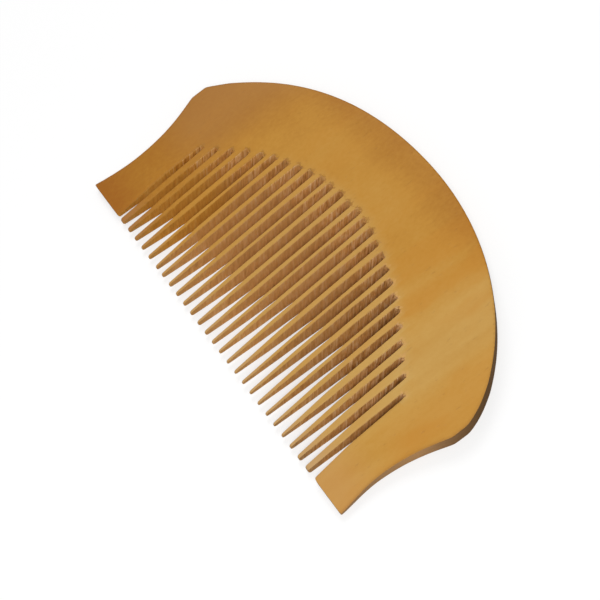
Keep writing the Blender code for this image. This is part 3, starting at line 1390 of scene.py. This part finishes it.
@dataclass(frozen=True)
class WoodFinish:
    """Waxed golden fruitwood: planed faces, darker outer walls and rough sawn cuts."""

    pore: Colour = (0.230, 0.095, 0.022)
    blush: Colour = (0.480, 0.195, 0.018)
    planed: Colour = (0.560, 0.430, 0.180)
    feathered: Colour = (0.330, 0.150, 0.030)
    splintered: Colour = (0.560, 0.310, 0.100)
    edge_waist: Colour = (0.385, 0.210, 0.086)
    sawn_pale: Colour = (0.850, 0.580, 0.300)
    frayed: Colour = (0.640, 0.370, 0.125)
    frayed_pale: Colour = (0.800, 0.520, 0.250)

    face_stops: Stops = (
        (0.08, (0.320, 0.112, 0.010)), (0.30, (0.368, 0.152, 0.015)),
        (0.58, (0.466, 0.222, 0.030)), (0.92, (0.515, 0.280, 0.060)))
    left_shade: Fade = Fade("X", -0.062, -0.018, 0.22, 0.60)
    right_light: Fade = Fade("X", 0.018, 0.050, 0.0, 0.24)
    crown_shade: Fade = Fade("Y", 0.0200, 0.0325, 0.0, -0.28)
    foot_shade: Fade = Fade("Y", -0.034, -0.021, -0.20, 0.0)
    foot_end: Fade = Fade("X", -0.046, -0.020, 1.0, 0.0)
    cloud: Figure = Figure((0.014, 0.024, 0.014), 2.0, 0.34)
    fine: Figure = Figure((0.0006, 0.020, 0.0006), 3.0, 0.06)
    mottle: Figure = Figure((0.0008, 0.0014, 0.0008), 2.0, 0.24)
    band: Figure = Figure((0.0055, 0.060, 0.02), 2.0, shift=(0.017, 0.042, 0.0))
    banding: Fade = Fade("X", 0.005, 0.045, 0.05, 0.80)

    ashen_end: Tint = Tint((0.370, 0.172, 0.046), (
        Fade("X", -0.052, -0.034, 0.55, 0.0), Fade("Y", -0.018, -0.002)))
    rosy_foot: Tint = Tint((0.520, 0.272, 0.086), (
        Fade("X", 0.036, 0.046, 0.0, 0.60), Fade("Y", -0.032, -0.018, 1.0, 0.0)))
    warm_shoulder: Tint = Tint(blush, (
        Fade("X", 0.045, 0.053, 0.0, 0.30), Fade("Y", -0.022, -0.014)))
    pale_band: Tint = Tint(planed, (
        Fade("X", 0.028, 0.041, 0.0, 0.16), Fade("X", 0.044, 0.050, 1.0, 0.0), Fade("Y", -0.010, 0.0)))
    warm_clouds: Tint = Tint(
        blush, (Fade("X", -0.010, 0.045, 0.10, 0.42),),
        figure=Figure((0.0075, 0.030, 0.010), 2.0, shift=(0.004, 0.013, 0.0)), figure_range=(0.46, 0.66))
    pale_teeth: Tint = Tint(planed, (Fade("X", -0.040, 0.0, 0.0, 0.22),), note="row")
    rubbed_tips: Tint = Tint((0.460, 0.340, 0.260), (
        Fade("Y", -0.034, -0.023, 1.0, 0.0), Fade("X", -0.040, 0.020, 0.12, 0.22)), note="row")
    fleck: Figure = Figure((0.00050, 0.0026, 0.00050), 1.0)
    fleck_range: Range = (0.68, 0.78)
    flecks: Tint = Tint(pore, figure=fleck, figure_range=fleck_range, strength=0.16)
    dark_rim: Tint = Tint(pore, note="rim", strength=0.35)
    feather_fibre: Figure = Figure((0.0005, 0.0009, 0.0005), 2.0, 2.2)
    feather_range: Range = (0.60, 0.90)
    feather_strength: float = 0.68
    splintering: Fade = Fade("X", 0.004, 0.020)

    # Partly the wall's own darker colour, partly painted shade: the outer wall darkens with height
    # towards the right shoulder and crown, where it faces away from the light.
    edge_shade_height: Fade = Fade("Y", -0.0343, 0.0100)
    edge_dark_and_shade_stops: Stops = (
        (0.06, (0.290, 0.160, 0.066)), (0.50, edge_waist),
        (0.75, (0.198, 0.104, 0.040)), (0.98, (0.100, 0.048, 0.012)))
    edge_grain: Figure = Figure((0.004, 0.004, 0.0012), 3.0, 0.12)
    golden_stops: Stops = ((0.15, edge_waist), (0.85, (0.350, 0.172, 0.042)))
    golden_grain: float = 1.4
    golden_end: Fade = Fade("X", 0.008, 0.038, 1.0, 0.0)
    golden_wander: float = 0.25

    saw_marks: Figure = Figure(SAW_GRAIN, 1.0, 0.35, SAW_SLANT)
    torn_grain: Figure = Figure(TORN_SIZE, 2.0, 0.45, SAW_SLANT)
    sawn_patch: Figure = Figure((0.0040, 0.0090, 0.0080), 1.0, 0.20)
    plain_contrast: float = 0.6
    sawn_stops: Stops = (
        (0.22, (0.330, 0.140, 0.032)), (0.50, (0.627, 0.320, 0.095)), (0.80, sawn_pale))
    golden_left: Tint = Tint((0.92, 0.82, 0.38), (
        Fade("X", -0.0290, -0.0240, 1.0, 0.0), Fade("Y", -0.014, -0.001, 1.0, 0.25)), mode="MULTIPLY")
    dull_right: Tint = Tint((0.84, 0.82, 0.80), (Fade("X", 0.002, 0.026),), mode="MULTIPLY")
    smooth_walls: Tint = Tint((0.91, 0.92, 0.97), (Fade("torn", 0.0, 0.7, 1.0, 0.0),), mode="MULTIPLY")
    scratches: Tint = Tint(
        sawn_pale, note="torn", figure=Figure((0.0022, 0.00042, 0.0075), 1.0, slant=SAW_SLANT),
        figure_range=(0.58, 0.66), strength=0.75)
    fraying: Fade = Fade("X", -0.040, -0.024, 0.30, 0.90)
    fray_streaks: tuple[float, ...] = (0.34, 0.56, 0.25, 1.0)
    fray_paling: Fade = Fade("X", 0.004, 0.026)

    wall: Fade = Fade("wall", 0.30, 0.72)
    fibre: Figure = Figure((0.00030, 0.0090, 0.00030), 3.0)
    waxed_roughness: float = 0.40
    fibre_roughness: float = 0.10
    wall_roughness: float = 0.52
    fibre_relief: float = 0.25
    fleck_relief: float = -0.5
    saw_relief: float = 2.0
    relief_strength: float = 0.6
    relief_depth: float = 0.00010
    ior: float = 1.45
    specular: float = 0.16

    @property
    def face_tints(self) -> tuple[Tint, ...]:
        """The tints of the faces, from the lowest to the topmost."""
        return (self.ashen_end, self.rosy_foot, self.warm_shoulder, self.pale_band, self.warm_clouds,
                self.pale_teeth, self.rubbed_tips, self.flecks, self.dark_rim)

    @property
    def sawn_tints(self) -> tuple[Tint, ...]:
        """The tints of the cuts' walls, from the lowest to the topmost."""
        return self.golden_left, self.dull_right, self.smooth_walls, self.scratches

    def material(self, name: str) -> bpy.types.Material:
        """Build the wood.

        Args:
            name: The material's name.

        Returns:
            The material.
        """
        canvas = Canvas(bpy.data.materials.new(name))
        streak = self.streak(canvas)
        wall = self.wall.share(canvas)
        sawn = canvas.attribute("sawn")
        side = canvas.blend(sawn, self.edge_wood(canvas), self.sawn_wood(canvas, streak))
        colour = canvas.blend(wall, self.planed_wood(canvas), side)
        self.finish(canvas, colour, wall, canvas.product(wall, sawn, streak))
        return canvas.owner

    def tone(self, canvas: Canvas) -> Socket:
        """How light the board is: darker at its left end, with soft clouds and bands.

        Args:
            canvas: The material's nodes.

        Returns:
            The tone, from 0 to 1.
        """
        foot = canvas.product(self.foot_shade.share(canvas), self.foot_end.share(canvas))
        shades = [fade.share(canvas) for fade in (self.left_shade, self.right_light, self.crown_shade)]
        tone = reduce(partial(canvas.maths, "ADD"), (*shades, foot))
        for figure in (self.cloud, self.fine, self.mottle):
            tone = canvas.maths("MULTIPLY_ADD", canvas.swing(figure), figure.strength, tone)
        return canvas.maths("MULTIPLY_ADD", canvas.swing(self.band), self.banding.share(canvas), tone)

    def planed_wood(self, canvas: Canvas) -> Socket:
        """Colour of the faces, with torn fibres lying over them at the ends of the cuts.

        Args:
            canvas: The material's nodes.

        Returns:
            The colour.
        """
        face = canvas.colours(self.tone(canvas), self.face_stops)
        for tint in self.face_tints:
            face = tint.lay(canvas, face)
        spread = canvas.maths("MULTIPLY_ADD", canvas.swing(self.feather_fibre),
                              self.feather_fibre.strength, canvas.attribute("feather"))
        spread = canvas.product(canvas.span(spread, *self.feather_range), self.feather_strength)
        fibres = canvas.blend(self.splintering.share(canvas), self.feathered, self.splintered)
        return canvas.blend(spread, face, fibres)

    def edge_wood(self, canvas: Canvas) -> Socket:
        """Colour of the outer wall: golden, and towards the right end darker with height up to the
        shoulder and crown, partly the wall's own darker colour and partly painted shade where it faces
        away from the light.

        Args:
            canvas: The material's nodes.

        Returns:
            The colour.
        """
        grain = canvas.swing(self.edge_grain)
        height = self.edge_shade_height.share(canvas)
        # Painted shade, partly the wall's own darker colour: darker with height towards the shoulder and
        # crown.
        dark_and_shade = canvas.maths("MULTIPLY_ADD", grain, self.edge_grain.strength, height)
        golden = canvas.maths("MULTIPLY_ADD", grain, self.golden_grain, 0.5)
        away = canvas.maths("MULTIPLY_ADD", grain, self.golden_wander, self.golden_end.share(canvas))
        return canvas.blend(canvas.span(away, 0.0, 1.0), canvas.colours(dark_and_shade, self.edge_dark_and_shade_stops),
                            canvas.colours(golden, self.golden_stops))

    def streak(self, canvas: Canvas) -> Socket:
        """Marks of the saw across the walls of the cuts, with torn fibres between them.

        Args:
            canvas: The material's nodes.

        Returns:
            The streaks, from 0 in a torn hollow to 1 on a pale fibre.
        """
        total: object = 0.0
        for figure in (self.saw_marks, self.torn_grain, self.sawn_patch):
            total = canvas.maths("MULTIPLY_ADD", canvas.noise(figure), figure.strength, total)
        contrast = canvas.maths("ADD", canvas.attribute("torn"), self.plain_contrast)
        return canvas.maths("MULTIPLY_ADD", canvas.maths("SUBTRACT", total, 0.5), contrast, 0.5)

    def sawn_wood(self, canvas: Canvas, streak: Socket) -> Socket:
        """Colour of the walls of the cuts, scratched where the saw tore them and frayed at the ends.

        Args:
            canvas: The material's nodes.
            streak: The saw marks.

        Returns:
            The colour.
        """
        rough = canvas.colours(streak, self.sawn_stops)
        for tint in self.sawn_tints:
            rough = tint.lay(canvas, rough)
        ends = canvas.product(canvas.span(streak, *self.fray_streaks), self.fraying.share(canvas),
                              canvas.attribute("frayed"))
        fibres = canvas.blend(self.fray_paling.share(canvas), self.frayed, self.frayed_pale)
        return canvas.blend(ends, rough, fibres)

    def finish(self, canvas: Canvas, colour: Socket, wall: Socket, marks: Socket) -> None:
        """Join colour, sheen and relief to the shader.

        Args:
            canvas: The material's nodes.
            colour: The wood's colour.
            wall: Where the surface is a wall.
            marks: The saw marks, where the wall is sawn.
        """
        fibre = canvas.noise(self.fibre)
        fleck = canvas.span(canvas.noise(self.fleck), *self.fleck_range)
        sheen = canvas.maths("MULTIPLY_ADD", fibre, self.fibre_roughness, self.waxed_roughness)
        relief = canvas.product(fibre, self.fibre_relief)
        relief = canvas.maths("MULTIPLY_ADD", fleck, self.fleck_relief, relief)
        relief = canvas.maths("MULTIPLY_ADD", marks, self.saw_relief, relief)
        bump = canvas.add("ShaderNodeBump", {
            "Height": relief, "Strength": self.relief_strength, "Distance": self.relief_depth})
        shader = canvas.add("ShaderNodeBsdfPrincipled", {
            "Base Color": colour, "Normal": bump.outputs[0],
            "Roughness": canvas.maths("MULTIPLY_ADD", wall, self.wall_roughness, sheen),
            "IOR": self.ior, "Specular IOR Level": self.specular})
        canvas.add("ShaderNodeOutputMaterial", {"Surface": shader.outputs[0]})


@dataclass(frozen=True)
class Viewpoint:
    """Where the comb is looked at from."""

    place: Triple = (0.15477, -0.04490, 0.27852)
    target: Triple = (0.00803, -0.01130, 0.00400)
    roll: float = math.radians(-24.33)
    lens: float = 77.55
    clip_start: float = 0.01

    def set_camera(self) -> None:
        """Put the camera in its place and make it the scene's own."""
        bpy.ops.object.camera_add(location=self.place)
        camera = bpy.context.active_object
        aim = (Vector(self.target) - Vector(self.place)).to_track_quat("-Z", "Y")
        camera.rotation_euler = (aim @ Quaternion(UP, self.roll)).to_euler()
        camera.data.lens = self.lens
        camera.data.clip_start = self.clip_start
        bpy.context.scene.camera = camera


@dataclass(frozen=True)
class Lamp:
    """A soft square lamp."""

    name: str
    place: Triple
    size: float
    power: float

    def hang(self) -> None:
        """Hang the lamp and point it at the comb."""
        bpy.ops.object.light_add(type="AREA", location=self.place)
        lamp = bpy.context.active_object
        lamp.name = self.name
        lamp.rotation_euler = (-Vector(self.place)).to_track_quat("-Z", "Y").to_euler()
        lamp.data.size = self.size
        lamp.data.energy = self.power


@dataclass(frozen=True)
class Studio:
    """A white table under soft light."""

    floor_size: float = 6.0
    floor_colour: Colour = (0.90, 0.90, 0.90)
    floor_white: float = 0.52
    floor_glow: float = 1.07
    shaded_floor: Range = (0.12, 0.45)
    sky_strength: float = 0.40
    lamps: tuple[Lamp, ...] = (
        Lamp("key", (-0.42, 0.22, 0.58), 0.35, 1.65),
        Lamp("front", (0.34, -0.10, 0.62), 0.30, 2.8),
    )

    @staticmethod
    def seen(canvas: Canvas) -> Socket:
        """1 for rays that show the background, from the camera or by reflection, and else 0."""
        rays = canvas.add("ShaderNodeLightPath").outputs
        kinds = ("Is Camera Ray", "Is Glossy Ray", "Is Transmission Ray")
        return reduce(partial(canvas.maths, "MAXIMUM"), [rays[kind] for kind in kinds])

    def lay_floor(self) -> None:
        """Lay the white floor, which keeps the comb's soft shadow and is plain white far from it."""
        bpy.ops.object.select_all(action="DESELECT")
        bpy.ops.mesh.primitive_plane_add(size=self.floor_size, location=(0, 0, 0))
        floor = bpy.context.active_object
        floor.name = "floor"
        canvas = Canvas(bpy.data.materials.new("floor_white"))
        lit = canvas.add("ShaderNodeBsdfDiffuse", {"Color": self.floor_colour})
        white = canvas.add("ShaderNodeEmission", {"Color": WHITE, "Strength": self.floor_glow})
        away = canvas.add("ShaderNodeVectorMath", {0: canvas.place}, operation="LENGTH").outputs["Value"]
        plain = canvas.span(away, *self.shaded_floor, self.floor_white, 1.0)
        share = canvas.product(self.seen(canvas), plain)
        both = canvas.add("ShaderNodeMixShader", {0: share, 1: lit.outputs[0], 2: white.outputs[0]})
        canvas.add("ShaderNodeOutputMaterial", {"Surface": both.outputs[0]})
        floor.data.materials.append(canvas.owner)

    def light_sky(self) -> None:
        """Light the room evenly, and show white beyond the floor."""
        canvas = Canvas(bpy.data.worlds.new("room"))
        level = canvas.span(self.seen(canvas), 0.0, 1.0, self.sky_strength, 1.0)
        sky = canvas.add("ShaderNodeBackground", {"Color": WHITE, "Strength": level})
        canvas.add("ShaderNodeOutputWorld", {"Surface": sky.outputs[0]})
        bpy.context.scene.world = canvas.owner

    def set_up(self) -> None:
        """Lay the floor, light it and set the camera."""
        self.lay_floor()
        self.light_sky()
        for lamp in self.lamps:
            lamp.hang()
        Viewpoint().set_camera()
        bpy.context.scene.view_settings.view_transform = "Standard"


def main() -> None:
    """Build and dress every piece of the comb, then set up the studio."""
    logging.basicConfig(level=logging.INFO, format="%(name)s: %(message)s")
    low, high = cad_box
    teeth = sum(name.startswith("tooth_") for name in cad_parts)
    blank = Blank(half_length=(high.x - low.x) / 2, height=high.y - low.y, tip_line=low.y)
    cuts = SawCuts(teeth=teeth, tip_line=low.y)
    guards = tuple(Guard(side.guard_name, "guard_wood", blank, cuts, side=side) for side in Side)
    back = CombBack("comb_back", "back_wood", blank, cuts, guards=guards)
    row = [Tooth(name, "tooth_wood", blank, cuts, index=index)
           for index, name in enumerate(cuts.tooth_names())]
    finish = WoodFinish()
    materials = {slot: finish.material(slot) for slot in ("back_wood", "guard_wood", "tooth_wood")}
    for piece in (back, *guards, *row):
        piece.dress(piece.build(), materials[piece.slot])
    Studio().set_up()


if __name__ == "__main__":
    main()
